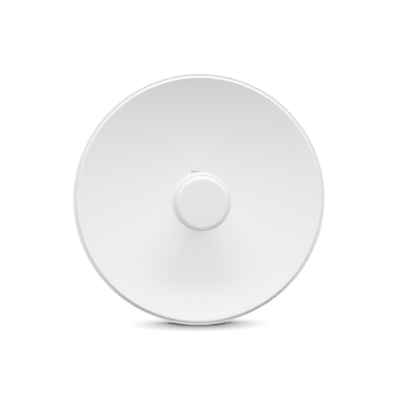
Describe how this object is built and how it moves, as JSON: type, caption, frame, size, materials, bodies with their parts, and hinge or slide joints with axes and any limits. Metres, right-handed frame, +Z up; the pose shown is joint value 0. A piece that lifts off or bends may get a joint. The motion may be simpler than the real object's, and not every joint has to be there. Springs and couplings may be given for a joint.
{
  "type": "outdoor wireless bridge",
  "caption": "Outdoor wireless bridge with a round white dish reflector, a plug-in feed radio on its axis, a round rear housing and a tilting pole clamp.",
  "frame": {"origin": "on the pole's axis, halfway up the clamp jaws", "axes": "+Z up along the pole, -Y the way the dish faces, +X to the right seen from the front"},
  "size_m": [0.42, 0.2905, 0.42],
  "materials": {
    "dish_coat": "satin white powder coat",
    "white_moulding": "fine-grained white moulding",
    "feed_moulding": "smooth satin white moulding",
    "galvanised_steel": "galvanised",
    "cast_jaw": "die-cast, tumbled",
    "zinc_fasteners": "bright zinc",
    "black_rubber": "matt",
    "seam_ring": "matt grey",
    "clear_lens": "clear, moulded",
    "spring_wire": "bright wire",
    "horn_metal": "machined",
    "circuit_board": "solder mask",
    "shield_tin": "tinned",
    "jack_housing": "shielded jack",
    "switch_black": "moulded",
    "button_grey": "moulded"
  },
  "bodies": {
    "mount": {"pole_bracket": "galvanised_steel", "inner_jaw": "cast_jaw", "clamp_bolts": "zinc_fasteners", "pivot_bolt": "zinc_fasteners", "pivot_washers": "zinc_fasteners", "pivot_nut": "zinc_fasteners"},
    "outer_jaw": {"outer_jaw": "cast_jaw", "clamp_nuts": "zinc_fasteners"},
    "head": {"head_bracket": "galvanised_steel", "stud_nuts": "zinc_fasteners", "lock_bolts": "zinc_fasteners", "lock_washers": "zinc_fasteners", "lock_nuts": "zinc_fasteners", "dish_reflector": "dish_coat", "dish_studs": "zinc_fasteners", "rear_housing": "white_moulding", "housing_gasket": "black_rubber", "status_lenses": "clear_lens", "cable_grommet": "black_rubber", "feed_collar": "white_moulding", "collar_seal": "black_rubber", "latch_spring": "spring_wire"},
    "feed": {"feed_tube": "feed_moulding", "tail_cap": "feed_moulding", "feed_drum": "feed_moulding", "front_cap": "feed_moulding", "cap_seal": "seam_ring", "subreflector": "horn_metal", "feed_horn": "horn_metal", "radio_board": "circuit_board", "shield_cans": "shield_tin", "rj45_jack": "jack_housing", "reset_switch": "switch_black"},
    "release_latch": {"release_latch": "white_moulding"},
    "port_cover": {"port_cover": "white_moulding"},
    "reset_button": {"reset_button": "button_grey"}
  },
  "joints": [
    {"name": "jaw_slide", "type": "slide", "parent": "mount", "child": "outer_jaw", "axis": [0, 1, 0], "range_m": [-0.018, 0.005]},
    {"name": "elevation", "type": "hinge", "parent": "mount", "child": "head", "pos_m": [0, -0.05605, 0], "axis": [1, 0, 0], "range_deg": [-20, 20]},
    {"name": "feed_slide", "type": "slide", "parent": "head", "child": "feed", "axis": [0, -1, 0], "range_m": [0, 0.15]},
    {"name": "latch_press", "type": "slide", "parent": "head", "child": "release_latch", "axis": [0, 0, -1], "range_m": [0, 0.003], "stiffness_N_per_m": 600, "springref_m": -0.002, "deforming": ["latch_spring"]},
    {"name": "cover_slide", "type": "slide", "parent": "head", "child": "port_cover", "axis": [0, 0, -1], "range_m": [0, 0.042]},
    {"name": "reset_press", "type": "slide", "parent": "feed", "child": "reset_button", "axis": [0, 0, 1], "range_m": [0, 0.0008], "stiffness_N_per_m": 1500, "springref_m": -0.0004}
  ]
}
